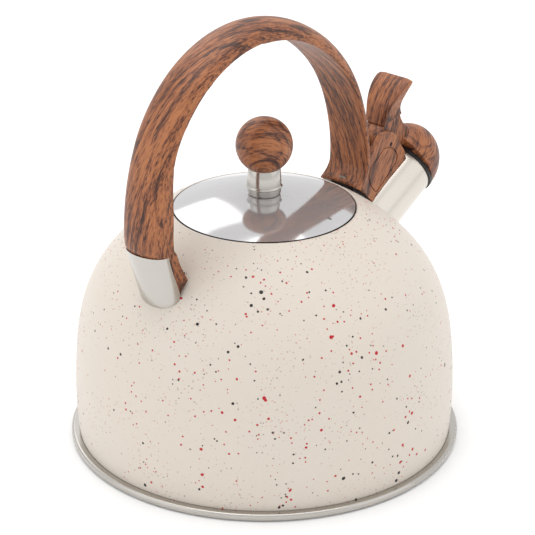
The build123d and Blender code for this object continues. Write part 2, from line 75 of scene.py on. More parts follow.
class Shade:
    """A material while it is wired: each method adds a node and returns its useful socket."""

    def __init__(self, name: str) -> None:
        """Start a material with a plain principled surface.

        Args:
            name: The finish's name.
        """
        self.material = bpy.data.materials.new(name)
        self.material.use_nodes = True
        self.tree = self.material.node_tree
        self.surface = self.tree.nodes["Principled BSDF"]

    def add(self, kind: str, inputs: dict, **settings: object) -> bpy.types.Node:
        """Add a node, set its properties and fill or link its inputs.

        Args:
            kind: The node's type.
            inputs: Input names or numbers, with a value or an output socket each.
            **settings: The node's own properties.

        Returns:
            The new node.
        """
        node = self.tree.nodes.new(kind)
        for key, value in settings.items():
            setattr(node, key, value)
        for key, value in inputs.items():
            if isinstance(value, bpy.types.NodeSocket):
                self.tree.links.new(value, node.inputs[key])
            else:
                node.inputs[key].default_value = value
        return node

    def place(
        self,
        scale: Sequence[float] = (1, 1, 1),
        shift: Sequence[float] = (0, 0, 0),
        turn: Sequence[float] = (0, 0, 0),
        attribute: str = "",
    ) -> bpy.types.NodeSocket:
        """Pattern coordinates: the object's own, or those kept on its points.

        Args:
            scale: Pattern units per metre along each axis.
            shift: Moves the pattern, in metres, after it is turned and scaled.
            turn: Turns the pattern, in degrees.
            attribute: Name of the point attribute to read instead of the object's coordinates.

        Returns:
            The vector socket.
        """
        if attribute:
            source = self.add("ShaderNodeAttribute", {}, attribute_name=attribute).outputs["Vector"]
        else:
            source = self.add("ShaderNodeTexCoord", {}).outputs["Object"]
        angles = [math.radians(angle) for angle in turn]
        inputs = {"Vector": source, "Location": shift, "Rotation": angles, "Scale": scale}
        return self.add("ShaderNodeMapping", inputs).outputs["Vector"]

    def noise(
        self, vector: bpy.types.NodeSocket, scale: float, detail: float = 2.0, twist: float = 0.0
    ) -> bpy.types.NodeSocket:
        """Add soft noise from 0 to 1, distorted by its twist."""
        inputs = {"Vector": vector, "Scale": scale, "Detail": detail, "Distortion": twist}
        return self.add("ShaderNodeTexNoise", inputs).outputs["Fac"]

    def sum_of(self, kind: str, first: object, second: object) -> bpy.types.NodeSocket:
        """Add one step of arithmetic on two numbers or sockets."""
        return self.add("ShaderNodeMath", {0: first, 1: second}, operation=kind).outputs[0]

    def fade(self, value: bpy.types.NodeSocket, low: float, high: float) -> bpy.types.NodeSocket:
        """Step smoothly from 0 at low to 1 at high; high may be the lower one."""
        inputs = {"Value": value, "From Min": low, "From Max": high}
        return self.add("ShaderNodeMapRange", inputs, interpolation_type="SMOOTHSTEP").outputs[0]

    def ramp(self, value: bpy.types.NodeSocket, stops: Stops) -> bpy.types.NodeSocket:
        """Colour that follows a value.

        Args:
            value: Position on the ramp.
            stops: Position and colour of each stop.

        Returns:
            The colour socket.
        """
        node = self.add("ShaderNodeValToRGB", {0: value})
        elements = node.color_ramp.elements
        while len(elements) < len(stops):
            elements.new(0.5)
        for element, (place, colour) in zip(elements, stops):
            element.position = place
            element.color = colour
        return node.outputs["Color"]

    def mix(self, share: object, first: object, second: object) -> bpy.types.NodeSocket:
        """Mix two colours by the share of the second one that shows."""
        node = self.add("ShaderNodeMix", {0: share, 6: first, 7: second}, data_type="RGBA")
        return node.outputs[2]

    def bump(self, height: bpy.types.NodeSocket, depth: float, strength: float = 1.0) -> None:
        """Give the surface relief.

        Args:
            height: The relief, 0 to 1.
            depth: How deep it is, in metres.
            strength: How much of it shows.
        """
        inputs = {"Height": height, "Distance": depth, "Strength": strength}
        relief = self.add("ShaderNodeBump", inputs).outputs["Normal"]
        self.tree.links.new(relief, self.surface.inputs["Normal"])

    def wire(self, **inputs: object) -> None:
        """Set or link the surface's own sockets, named with underscores for spaces.

        Args:
            **inputs: A value or a socket for each.
        """
        for key, value in inputs.items():
            socket = self.surface.inputs[key.replace("_", " ")]
            if isinstance(value, bpy.types.NodeSocket):
                self.tree.links.new(value, socket)
            else:
                socket.default_value = value


class Finish(Protocol):
    """Anything that builds a material."""

    def build(self) -> bpy.types.Material:
        """Wire the material."""


@dataclass(frozen=True)
class SpeckledEnamel:
    """Cream enamel with crimson and black flecks of three sizes."""

    ground: Colour = tint(212, 201, 187)
    cool_ground: Colour = tint(211, 203, 194)
    crimson: Colour = tint(178, 2, 30)
    black: Colour = tint(20, 16, 18)

    def flecks(
        self, shade: Shade, under: object, cell: float, reach: float, strength: float, seed: float
    ) -> bpy.types.NodeSocket:
        """Scatter one size of fleck over a ground.

        Args:
            shade: The material.
            under: The colour below the flecks.
            cell: Spacing of the flecks in metres.
            reach: Largest fleck's radius, as a share of the spacing.
            strength: How strongly they cover the ground.
            seed: Moves the pattern.

        Returns:
            The colour with the flecks on it.
        """
        size = 1 / cell
        spots = shade.place(scale=(size, size, size), shift=(seed, seed * 1.7, seed * 0.6))
        swirl = {"Vector": spots, "Scale": 2.2, "Detail": 1.0}
        wander = shade.add("ShaderNodeTexNoise", swirl).outputs["Color"]
        bent = shade.add("ShaderNodeMix", {0: 0.12, 4: spots, 5: wander}, data_type="VECTOR").outputs[1]
        cells = shade.add("ShaderNodeTexVoronoi", {"Vector": bent, "Scale": 1.0, "Randomness": 1.0})
        parts = shade.add("ShaderNodeSeparateColor", {0: cells.outputs["Color"]})
        crowd = shade.noise(shade.place(shift=(seed, 0, seed)), 34.0, 2.0)
        wide = shade.fade(crowd, 0.3, 0.72)
        spread = shade.add("ShaderNodeMapRange", {"Value": parts.outputs[1], "To Min": 0.55, "To Max": 1.0})
        crowded = shade.add("ShaderNodeMapRange", {"Value": wide, "To Min": 0.35, "To Max": 1.0})
        radius = shade.sum_of("MULTIPLY", spread.outputs[0], crowded.outputs[0])
        radius = shade.sum_of("MULTIPLY", radius, reach)
        near = shade.sum_of("SUBTRACT", radius, cells.outputs["Distance"])
        cover = shade.fade(near, -0.01, 0.03)
        which = shade.sum_of("GREATER_THAN", parts.outputs[0], 0.6)
        ink = shade.mix(which, self.crimson, self.black)
        return shade.mix(shade.sum_of("MULTIPLY", cover, strength), under, ink)

    def build(self) -> bpy.types.Material:
        """Wire the enamel.

        Returns:
            The material.
        """
        shade = Shade("speckled_enamel")
        drift = shade.noise(shade.place(), 9.0, 2.0)
        colour = shade.mix(drift, self.ground, self.cool_ground)
        colour = self.flecks(shade, colour, 0.0017, 0.28, 0.42, 3.1)
        colour = self.flecks(shade, colour, 0.0030, 0.25, 0.95, 7.7)
        colour = self.flecks(shade, colour, 0.0058, 0.2, 1.0, 1.3)
        peel = shade.noise(shade.place(), 900.0, 2.0)
        wear = shade.noise(shade.place(), 60.0, 4.0)
        rough = shade.add("ShaderNodeMapRange", {"Value": wear, "To Min": 0.34, "To Max": 0.46}).outputs[0]
        shade.wire(Base_Color=colour, Roughness=rough, IOR=1.46)
        shade.bump(peel, 0.00005, 0.5)
        return shade.material


class Figure(Enum):
    """How the grain lies on a wooden-looking piece: its name, its stretch and its number of rings."""

    STRAP = ("strap", (0.10, 1.0, 0.8), 12.0)
    BALL = ("ball", (0.3, 0.3, 1.0), 24.0)
    DOME = ("dome", (0.3, 0.3, 1.0), 22.0)
    PADDLE = ("paddle", (0.12, 1.0, 0.5), 9.0)
    CHEEK = ("cheek", (0.12, 1.0, 1.0), 12.0)


@dataclass(frozen=True)
class WoodGrain:
    """Printed wood grain under a satin coat. Rings spread from the heart, given in metres."""

    figure: Figure
    heart: Sequence[float] = (0.0, 0.0, 0.0)
    deep: Colour = tint(54, 27, 18)
    brown: Colour = tint(96, 53, 33)
    warm: Colour = tint(138, 81, 48)
    light: Colour = tint(170, 107, 65)

    def coordinates(self, shade: Shade) -> bpy.types.NodeSocket:
        """Find pattern coordinates with X along the grain, or Z outward from the heart.

        Args:
            shade: The material.

        Returns:
            The vector socket.
        """
        if self.figure is Figure.STRAP:
            return shade.place(attribute="grain", turn=(0, 0, 13))
        if self.figure is Figure.PADDLE:
            return shade.place(attribute="grain", turn=(0, 0, -3))
        if self.figure is Figure.CHEEK:
            return shade.place(turn=(0, 58, 0))
        spot = shade.place(shift=tuple(-part for part in self.heart))
        reach = shade.add("ShaderNodeVectorMath", {0: spot}, operation="LENGTH").outputs["Value"]
        sides = shade.add("ShaderNodeSeparateXYZ", {0: spot}).outputs
        return shade.add("ShaderNodeCombineXYZ", {0: sides[0], 1: sides[1], 2: reach}).outputs[0]

    def dashes(self) -> Sequence[float]:
        """Stretch of the short dark dashes along X."""
        return (0.25, 0.25, 1.0) if self.ringed() else (0.2, 1.0, 1.0)

    def ringed(self) -> bool:
        """Whether the grain lies in rings round its heart."""
        return self.figure in (Figure.BALL, Figure.DOME)

    def build(self) -> bpy.types.Material:
        """Wire the grain: long rings cut by the surface, dark streaks, fine fibres and pores.

        Returns:
            The material.
        """
        label, stretch, turns = self.figure.value
        shade = Shade(f"wood_grain_{label}")
        along = self.coordinates(shade)
        long = shade.add("ShaderNodeMapping", {"Vector": along, "Scale": stretch}).outputs[0]
        field = shade.noise(long, 42.0, 1.6, 0.35)
        rings = shade.sum_of("FRACT", shade.sum_of("MULTIPLY", field, turns), 0.0)
        line = shade.sum_of("MULTIPLY", shade.fade(rings, 0.45, 0.92), shade.fade(rings, 1.0, 0.93))
        across = 0.09 if self.ringed() else 1.0
        thin = shade.add("ShaderNodeMapping", {"Vector": along, "Scale": (0.09, across, 1.0)}).outputs[0]
        fibre = shade.noise(thin, 1900.0, 3.0, 0.2)
        streak = shade.noise(thin, 430.0, 4.0, 0.6)
        broad = shade.noise(long, 90.0, 3.0, 0.8)
        dash = shade.add("ShaderNodeMapping", {"Vector": along, "Scale": self.dashes()}).outputs[0]
        dashes = shade.fade(shade.noise(dash, 1150.0, 3.0, 0.6), 0.5, 0.66)
        tone = shade.sum_of("MULTIPLY", line, 0.28)
        parts = [(shade.fade(streak, 0.28, 0.72), 0.42), (shade.fade(fibre, 0.3, 0.7), 0.4)]
        parts += [(shade.fade(broad, 0.25, 0.75), 0.3), (dashes, 0.3)]
        for part, weight in parts:
            tone = shade.sum_of("ADD", tone, shade.sum_of("MULTIPLY", part, weight))
        share = shade.fade(tone, 0.22, 1.35)
        stops = [(0.0, self.light), (0.36, self.warm), (0.62, self.brown), (0.95, self.deep)]
        colour = shade.ramp(share, stops)
        pores = shade.fade(fibre, 0.6, 0.7)
        colour = shade.mix(shade.sum_of("MULTIPLY", pores, 0.5), colour, self.deep)
        rough = shade.add("ShaderNodeMapRange", {"Value": streak, "To Min": 0.36, "To Max": 0.5}).outputs[0]
        shade.wire(Base_Color=colour, Roughness=rough, IOR=1.48)
        shade.bump(share, 0.00006, 0.35)
        return shade.material


@dataclass(frozen=True)
class Metal:
    """A metal with a faint polish and handling marks; beyond its edge's radius, in metres, it is painted dark
    as a painted shade line along its rim.
    """

    name: str
    tone: Colour
    roughness: float
    brushed: Sequence[float] = (1, 1, 1)
    marks: float = 0.04
    edge: float = 0.0
    bare: float = 1.0

    def build(self) -> bpy.types.Material:
        """Wire the metal.

        Returns:
            The material.
        """
        shade = Shade(self.name)
        lines = shade.noise(shade.place(scale=self.brushed), 900.0, 4.0)
        haze = shade.noise(shade.place(), 45.0, 4.0)
        mixed = shade.sum_of("ADD", shade.sum_of("MULTIPLY", lines, 0.6), shade.sum_of("MULTIPLY", haze, 0.4))
        low, high = self.roughness - self.marks / 2, self.roughness + self.marks
        rough = shade.add("ShaderNodeMapRange", {"Value": mixed, "To Min": low, "To Max": high}).outputs[0]
        shaded = tuple(channel * 0.93 for channel in self.tone[:3]) + (1.0,)
        tone = shade.mix(haze, self.tone, shaded)
        # painted shade: beyond the edge's radius the tone turns near black, standing in for the shadow in the
        # gap under the rim
        if self.edge:
            flat = shade.place(scale=(1, 1, 0))
            reach = shade.add("ShaderNodeVectorMath", {0: flat}, operation="LENGTH").outputs["Value"]
            tone = shade.mix(shade.fade(reach, self.edge - 0.0002, self.edge), tone, tint(34, 33, 33))
        shade.wire(Base_Color=tone, Metallic=self.bare, Roughness=rough)
        shade.bump(lines, 0.000008, 0.3)
        return shade.material


@dataclass(frozen=True)
class Silicone:
    """Black silicone rubber with a dusty sheen."""

    tone: Colour = tint(26, 25, 26)

    def build(self) -> bpy.types.Material:
        """Wire the rubber.

        Returns:
            The material.
        """
        shade = Shade("silicone")
        fine = shade.noise(shade.place(), 1400.0, 3.0)
        dust = shade.noise(shade.place(), 120.0, 4.0)
        colour = shade.mix(shade.fade(dust, 0.45, 0.8), self.tone, tint(48, 46, 46))
        rough = shade.add("ShaderNodeMapRange", {"Value": dust, "To Min": 0.5, "To Max": 0.68}).outputs[0]
        shade.wire(Base_Color=colour, Roughness=rough, Sheen_Weight=0.15)
        shade.bump(fine, 0.00002, 0.4)
        return shade.material


STEEL = Metal("polished_steel", tint(194, 190, 184), 0.2, brushed=(1, 1, 6))
SPOUT_STEEL = Metal("spout_steel", tint(216, 209, 200), 0.26)
# the lid's edge radius paints a dark shade line round the disc's rim, where the gap under it lies in shadow
LID_STEEL = Metal("lid_steel", tint(208, 207, 208), 0.09, marks=0.02, edge=0.0479, bare=0.7)
SPRING = Metal("spring_steel", tint(150, 148, 146), 0.3)
PIN_STEEL = Metal("blackened_steel", tint(58, 56, 55), 0.4)
BRASS = Metal("brass", tint(196, 160, 92), 0.28, brushed=(1, 1, 8))
ALUMINIUM = Metal("spreader_aluminium", tint(188, 189, 191), 0.4)


Finishes = Sequence[tuple[Finish, Sequence[str]]]


def dress(nodes: Sequence[str], material: bpy.types.Material) -> None:
    """Give CAD nodes a finish.

    Args:
        nodes: Names of the nodes.
        material: The finish.
    """
    for name in nodes:
        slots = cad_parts[name].data.materials
        slots.clear()
        slots.append(material)
        LOG.info("%s: %s", name, material.name)


# ---------------------------------------------------------------- modelling bench


def clear_selection() -> None:
    """Leave edit mode and deselect every object."""
    if bpy.context.object and bpy.context.object.mode != "OBJECT":
        bpy.ops.object.mode_set(mode="OBJECT")
    bpy.ops.object.select_all(action="DESELECT")


def activate(piece: bpy.types.Object) -> None:
    """Select one object alone and make it the active one.

    Args:
        piece: The object.
    """
    clear_selection()
    piece.select_set(True)
    bpy.context.view_layer.objects.active = piece


def centre_of(points: Sequence[Vector]) -> Vector:
    """Find the mean of some points."""
    return sum(points, Vector()) / len(points)


def settle(piece: bpy.types.Object, found_at: Sequence[Vector], goes_to: Sequence[Vector]) -> None:
    """Put each selected vertex at the target that matches where it lies now.

    Args:
        piece: The object, in edit mode.
        found_at: Where the vertices lie.
        goes_to: Where each of them goes.
    """
    sheet = bmesh.from_edit_mesh(piece.data)
    start = np.array([tuple(point) for point in found_at])
    for vert in sheet.verts:
        if vert.select:
            gaps = ((start - np.array(tuple(vert.co))) ** 2).sum(axis=1)
            vert.co = goes_to[int(gaps.argmin())]
    bmesh.update_edit_mesh(piece.data)


def start_outline(name: str, points: Sequence[Vector]) -> bpy.types.Object:
    """Add a filled circle and shape its rim into an outline, in edit mode.

    Args:
        name: The piece's name.
        points: The outline's corners.

    Returns:
        The new object, left in edit mode with its face selected.
    """
    clear_selection()
    bpy.ops.mesh.primitive_circle_add(vertices=len(points), radius=1.0, fill_type="NGON")
    piece = bpy.context.object
    piece.name = name
    piece.data.name = name
    circle = [vert.co.copy() for vert in piece.data.vertices]
    bpy.ops.object.mode_set(mode="EDIT")
    bpy.ops.mesh.select_all(action="SELECT")
    settle(piece, circle, points)
    return piece


def shade_soft(piece: bpy.types.Object, angle: float = 30.0) -> bpy.types.Object:
    """Shade a piece smooth except at edges sharper than an angle.

    Args:
        piece: The object.
        angle: The angle, in degrees.

    Returns:
        The same object.
    """
    activate(piece)
    bpy.ops.object.shade_smooth_by_angle(angle=math.radians(angle))
    return piece


def close_up(piece: bpy.types.Object, angle: float = 35.0) -> bpy.types.Object:
    """Merge doubles, turn the faces outwards, leave edit mode and shade the piece.

    Args:
        piece: The object, in edit mode.
        angle: Edges sharper than this stay crisp, in degrees.

    Returns:
        The same object.
    """
    bpy.ops.mesh.select_all(action="SELECT")
    bpy.ops.mesh.remove_doubles(threshold=0.00001)
    bpy.ops.mesh.normals_make_consistent(inside=False)
    bpy.ops.object.mode_set(mode="OBJECT")
    return shade_soft(piece, angle)


def loft(name: str, rings: Sequence[Sequence[Vector]], angle: float = 35.0) -> bpy.types.Object:
    """Extrude a closed outline from ring to ring and close both ends.

    Args:
        name: The piece's name.
        rings: Outlines of equal length, in order.
        angle: Edges sharper than this stay crisp, in degrees.

    Returns:
        The finished object.
    """
    piece = start_outline(name, rings[0])
    for before, after in zip(rings, rings[1:]):
        step = centre_of(after) - centre_of(before)
        bpy.ops.mesh.extrude_region_move(TRANSFORM_OT_translate={"value": tuple(step)})
        settle(piece, [point + step for point in before], after)
    return close_up(piece, angle)


def turned(
    name: str, profile: Sequence[tuple[float, float]], origin: Vector, axis: Vector, steps: int = 72
) -> bpy.types.Object:
    """Spin a closed profile right round an axis.

    Args:
        name: The piece's name.
        profile: Distance along the axis and radius of each corner.
        origin: A point on the axis, where the distance is 0.
        axis: The axis, of unit length.
        steps: Facets round the axis.

    Returns:
        The finished object.
    """
    side = axis.cross(Vector((0, 1, 0))).normalized()
    points = [origin + axis * along + side * out for along, out in profile]
    piece = start_outline(name, points)
    bpy.ops.mesh.delete(type="ONLY_FACE")
    bpy.ops.mesh.select_all(action="SELECT")
    bpy.ops.mesh.spin(steps=steps, angle=math.tau, center=origin, axis=axis)
    return close_up(piece)


def modify(piece: bpy.types.Object, kind: str, **settings: object) -> None:
    """Add a modifier and apply it.

    Args:
        piece: The object.
        kind: The modifier's type.
        **settings: The modifier's own properties.
    """
    activate(piece)
    modifier = piece.modifiers.new(kind.lower(), kind)
    for key, value in settings.items():
        setattr(modifier, key, value)
    bpy.ops.object.modifier_apply(modifier=modifier.name)


def cut(piece: bpy.types.Object, cutters: Sequence[bpy.types.Object], kind: str = "DIFFERENCE") -> None:
    """Take cutters away from a piece, or join them to it, and throw them away.

    Args:
        piece: The object.
        cutters: Closed objects.
        kind: The boolean's operation.
    """
    for cutter in cutters:
        modify(piece, "BOOLEAN", object=cutter, operation=kind, solver="EXACT")
        bpy.data.objects.remove(cutter)


def prism(name: str, outline: Sequence[tuple[float, float]], low: float, high: float) -> bpy.types.Object:
    """Extrude an outline of the middle plane across it.

    Args:
        name: The piece's name.
        outline: Corners as x and z, in millimetres.
        low: The y where it starts, in millimetres.
        high: The y where it ends.

    Returns:
        The closed block.
    """
    piece = start_outline(name, xz(outline, low))
    bpy.ops.mesh.extrude_region_move(TRANSFORM_OT_translate={"value": (0, (high - low) * MM, 0)})
    return close_up(piece)


def rod(name: str, place: tuple[float, float], radius: float, width: float) -> bpy.types.Object:
    """Round rod across the kettle, in millimetres.

    Args:
        name: The piece's name.
        place: Its middle, as x and z.
        radius: Its radius.
        width: Its length.

    Returns:
        The rod.
    """
    turns = np.linspace(0, math.tau, 33)[:-1]
    outline = [(place[0] + radius * math.cos(t), place[1] + radius * math.sin(t)) for t in turns]
    return prism(name, outline, -width / 2, width / 2)


def pick_edges(piece: bpy.types.Object, wanted: Callable[[Vector, Vector], bool]) -> None:
    """Enter edit mode with only the wanted edges selected.

    Args:
        piece: The object.
        wanted: Says of an edge's two ends, in metres, whether it is wanted.
    """
    activate(piece)
    bpy.ops.object.mode_set(mode="EDIT")
    bpy.ops.mesh.select_mode(type="EDGE")
    bpy.ops.mesh.select_all(action="DESELECT")
    sheet = bmesh.from_edit_mesh(piece.data)
    for edge in sheet.edges:
        edge.select = wanted(edge.verts[0].co, edge.verts[1].co)
    sheet.select_flush_mode()
    bmesh.update_edit_mesh(piece.data)


def round_corners(piece: bpy.types.Object, radius: float, wanted: Callable[[float, float], bool]) -> None:
    """Round the edges that run straight across a block.

    Args:
        piece: The object.
        radius: The fillet's size, in millimetres.
        wanted: Says of an edge's x and z, in millimetres, whether it is rounded.
    """

    def crosses(one: Vector, other: Vector) -> bool:
        """Tell whether an edge runs across the block at a wanted place."""
        still = abs(one.x - other.x) < 1e-6 and abs(one.z - other.z) < 1e-6
        return still and wanted(one.x / MM, one.z / MM)

    pick_edges(piece, crosses)
    bpy.ops.mesh.bevel(offset=radius * MM, segments=5, affect="EDGES")
    close_up(piece)


def soften_rims(piece: bpy.types.Object, radius: float, half: float, segments: int = 2) -> None:
    """Bevel the edges of the two side faces of a block.

    Args:
        piece: The object.
        radius: The bevel's size, in millimetres.
        half: Distance of the side faces from the middle plane, in millimetres.
        segments: Steps across the bevel.
    """

    def on_side(one: Vector, other: Vector) -> bool:
        """Tell whether both ends of an edge lie on one side face."""
        near = [abs(abs(end.y) - half * MM) < 1e-6 for end in (one, other)]
        return all(near) and one.y * other.y > 0

    pick_edges(piece, on_side)
    bpy.ops.mesh.bevel(offset=radius * MM, segments=segments, affect="EDGES", clamp_overlap=True)
    close_up(piece, 30.0)


def join(piece: bpy.types.Object, other: bpy.types.Object) -> None:
    """Join another object's mesh to a piece.

    Args:
        piece: The object that stays.
        other: The one that is taken in.
    """
    activate(piece)
    other.select_set(True)
    bpy.ops.object.join()


def xz(points: Sequence[tuple[float, float]], across: float = 0.0) -> list[Vector]:
    """Turn pairs of x and z, in millimetres, into points in metres at one distance across."""
    return [Vector((x, across, z)) * MM for x, z in points]


def through(points: Sequence[Sequence[float]], count: int) -> np.ndarray:
    """Natural cubic spline through points, sampled evenly by chord length.

    Args:
        points: Rows of coordinates.
        count: How many samples.

    Returns:
        The samples, one row each.
    """
    rows = np.array(points, float)
    steps = np.sqrt((np.diff(rows, axis=0) ** 2).sum(axis=1))
    knots = np.concatenate([[0.0], np.cumsum(steps)])
    size = len(rows)
    system = np.eye(size)
    right = np.zeros_like(rows)
    for i in range(1, size - 1):
        system[i, i - 1 : i + 2] = steps[i - 1], 2 * (steps[i - 1] + steps[i]), steps[i]
        right[i] = 6 * ((rows[i + 1] - rows[i]) / steps[i] - (rows[i] - rows[i - 1]) / steps[i - 1])
    bend = np.linalg.solve(system, right)
    places = np.linspace(0, knots[-1], count)
    spans = np.clip(np.searchsorted(knots, places, side="right") - 1, 0, size - 2)
    out = np.zeros((count, rows.shape[1]))
    for k, (place, i) in enumerate(zip(places, spans)):
        ahead, behind, wide = knots[i + 1] - place, place - knots[i], steps[i]
        out[k] = bend[i] * ahead**3 / (6 * wide) + bend[i + 1] * behind**3 / (6 * wide)
        out[k] += (rows[i] / wide - bend[i] * wide / 6) * ahead
        out[k] += (rows[i + 1] / wide - bend[i + 1] * wide / 6) * behind
    return out


def lay_grain(piece: bpy.types.Object, line: Sequence[Vector]) -> None:
    """Keep on each point how far along a line it lies, how far across and how far off it, in metres.

    Args:
        piece: The object.
        line: Points of the middle plane that the grain follows.
    """
    path = np.array([(point.x, point.z) for point in line])
    steps = np.diff(path, axis=0)
    longs = np.sqrt((steps**2).sum(axis=1))
    starts = np.concatenate([[0.0], np.cumsum(longs)])
    grain = piece.data.attributes.new("grain", "FLOAT_VECTOR", "POINT")
    values = np.zeros((len(piece.data.vertices), 3))
    for index, vert in enumerate(piece.data.vertices):
        spot = np.array((vert.co.x, vert.co.z))
        share = (((spot - path[:-1]) * steps).sum(axis=1) / longs**2).clip(0, 1)
        off = spot - (path[:-1] + steps * share[:, None])
        near = int((off**2).sum(axis=1).argmin())
        turn = steps[near][0] * off[near][1] - steps[near][1] * off[near][0]
        lift = math.copysign(float(np.sqrt((off[near] ** 2).sum())), turn)
        values[index] = starts[near] + share[near] * longs[near], vert.co.y, lift
    grain.data.foreach_set("vector", values.ravel())


def finish_piece(
    piece: bpy.types.Object, body: str, slot: str, material: bpy.types.Material, *stands_for: str
) -> None:
    """Dress a piece, hang it on what it rides on and hide the CAD nodes that it stands for.

    Args:
        piece: The object.
        body: The CAD body that carries it.
        slot: The record's material slot; not used.
        material: Its finish.
        *stands_for: CAD nodes that it replaces.
    """
    piece.data.materials.clear()
    piece.data.materials.append(material)
    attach(piece, body)
    if stands_for:
        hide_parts(*stands_for)
    LOG.info("%s: %d faces, on %s", piece.name, len(piece.data.polygons), body)


# ---------------------------------------------------------------- sub-assemblies


@dataclass
class Dome:
    """The body's outer curve, for seats that lie on it. Millimetres."""

    wide: float = 101.9
    crown: float = 156.5
    sink: float = 18.25
    square: float = 5.37
    round: float = 0.739
    floor: float = 60.0  # of a cutter, well inside the body
    step: float = 0.01  # over which the slope is measured

    def height(self, reach: float) -> float:
        """Height of the curve at a distance from the axis."""
        share = (1 - (reach / self.wide) ** self.round) ** (1 / self.square)
        return share * (self.crown + self.sink) - self.sink

    def cutter(self, name: str, gap: float, low: float, high: float) -> bpy.types.Object:
        """Solid bounded by the curve moved out by a gap, between two radii.

        Args:
            name: The cutter's name.
            gap: Distance from the body's face.
            low: The smaller radius.
            high: The larger radius.

        Returns:
            The cutter.
        """
        profile = [(self.floor * MM, low * MM)]
        for share in np.linspace(0, 1, 40):
            reach = low + (high - low) * share
            climb = self.height(reach + self.step) - self.height(reach - self.step)
            slope = climb / (2 * self.step)
            long = math.hypot(1, slope)
            profile.append(((self.height(reach) + gap / long) * MM, (reach - gap * slope / long) * MM))
        profile.append((self.floor * MM, profile[-1][1]))
        return turned(name, profile, Vector((0, 0, 0)), Vector((0, 0, 1)), 180)


@dataclass
class SpoutLine:
    """The spout's axis, from the middle of its mouth. Millimetres."""

    mouth: tuple[float, float] = (117.919, 116.574)
    rise: float = 28.6

    def at(self, along: float, above: float) -> tuple[float, float]:
        """Find a point in the spout's own directions.

        Args:
            along: How far it lies beyond the mouth.
            above: How far above the axis.

        Returns:
            Its x and z.
        """
        turn = math.radians(self.rise)
        x = self.mouth[0] + along * math.cos(turn) - above * math.sin(turn)
        return x, self.mouth[1] + along * math.sin(turn) + above * math.cos(turn)

    def axis(self) -> Vector:
        """Direction out of the spout."""
        turn = math.radians(self.rise)
        return Vector((math.cos(turn), 0, math.sin(turn)))

    def origin(self) -> Vector:
        """Middle of the mouth, in metres."""
        return Vector((self.mouth[0], 0, self.mouth[1])) * MM


@dataclass
class Dressed:
    """A sub-assembly whose CAD nodes are shown as they are, each group with its finish."""

    finishes: Finishes = ()

    def build(self) -> None:
        """Dress the nodes."""
        for finish, nodes in self.finishes:
            dress(nodes, finish.build())


@dataclass
class Body(Dressed):
    """The enamelled body on its steel base."""

    finishes: Finishes = (
        (SpeckledEnamel(), ("body_shell",)),
        (STEEL, ("base_pan", "base_cover")),
        (ALUMINIUM, ("heat_spreader",)),
    )


@dataclass
class Lid(Dressed):
    """The steel lid with its skirt and seal."""

    finishes: Finishes = (
        (LID_STEEL, ("lid_disc",)),
        (STEEL, ("lid_skirt",)),
        (Silicone(), ("lid_seal",)),
    )


@dataclass
class Spout(Dressed):
    """The steel spout and the fixings at the saddle and heel."""

    finishes: Finishes = (
        (SPOUT_STEEL, ("spout_tube",)),
        (STEEL, ("rear_bracket", "heel_boss", "heel_screw", "saddle_lug", "saddle_pin")),
        # the black saddle pad is a real seat pad and also fills the shadowed gap under the saddle with black:
        # partly painted shade
        (Silicone(), ("saddle_pad",)),
    )


@dataclass
class Whistle(Dressed):
    """The whistle in the cap, with the cap's gasket, pin and spring."""

    finishes: Finishes = (
        (STEEL, ("whistle_plate", "whistle_cup")),
        (Silicone(), ("cap_gasket",)),
        (PIN_STEEL, ("hinge_pin",)),
        (SPRING, ("torsion_spring",)),
    )


@dataclass
class Knob:
    """The ball on its turned ferrule. Millimetres."""

    foot: float = 8.3
    bead: float = 9.7
    neck: float = 8.6
    bore: float = 3.0
    bead_share: float = 0.3
    heart: Sequence[float] = (-8.5, -7.6, 4.0)  # of the ball's grain, from its lowest point

    def ferrule(self) -> bpy.types.Object:
        """Model the ferrule, nearly straight, with a raised bead round its lower third.

        Returns:
            The ferrule.
        """
        heights = [corner[2] / MM for corner in bpy.data.objects["knob_ferrule"].bound_box]
        low, high = min(heights), max(heights)
        line = low + (high - low) * self.bead_share
        outline = [(low, self.bore), (low, self.foot), (low + 0.9, self.foot + 0.5)]
        outline += [(line - 0.9, self.bead - 0.8), (line - 0.5, self.bead - 0.2), (line, self.bead)]
        outline += [(line + 0.5, self.bead - 0.2), (line + 0.9, self.bead - 0.65)]
        outline += [(line + 4.5, self.bead - 0.7), (high - 0.5, self.neck), (high, self.neck - 0.4)]
        outline.append((high, self.bore))
        profile = [(along * MM, out * MM) for along, out in outline]
        return turned("knob_collar", profile, Vector((0, 0, 0)), Vector((0, 0, 1)), 96)

    def build(self) -> None:
        """Model the ferrule and dress the ball and its screw."""
        finish_piece(self.ferrule(), "lid", "steel", STEEL.build(), "knob_ferrule")
        lowest = min(corner[2] for corner in bpy.data.objects["knob_ball"].bound_box)
        out, side, lift = (part * MM for part in self.heart)
        dress(["knob_ball"], WoodGrain(Figure.BALL, (out, side, lowest + lift)).build())
        dress(["knob_washer", "knob_screw"], STEEL.build())
        dress(["knob_insert"], BRASS.build())


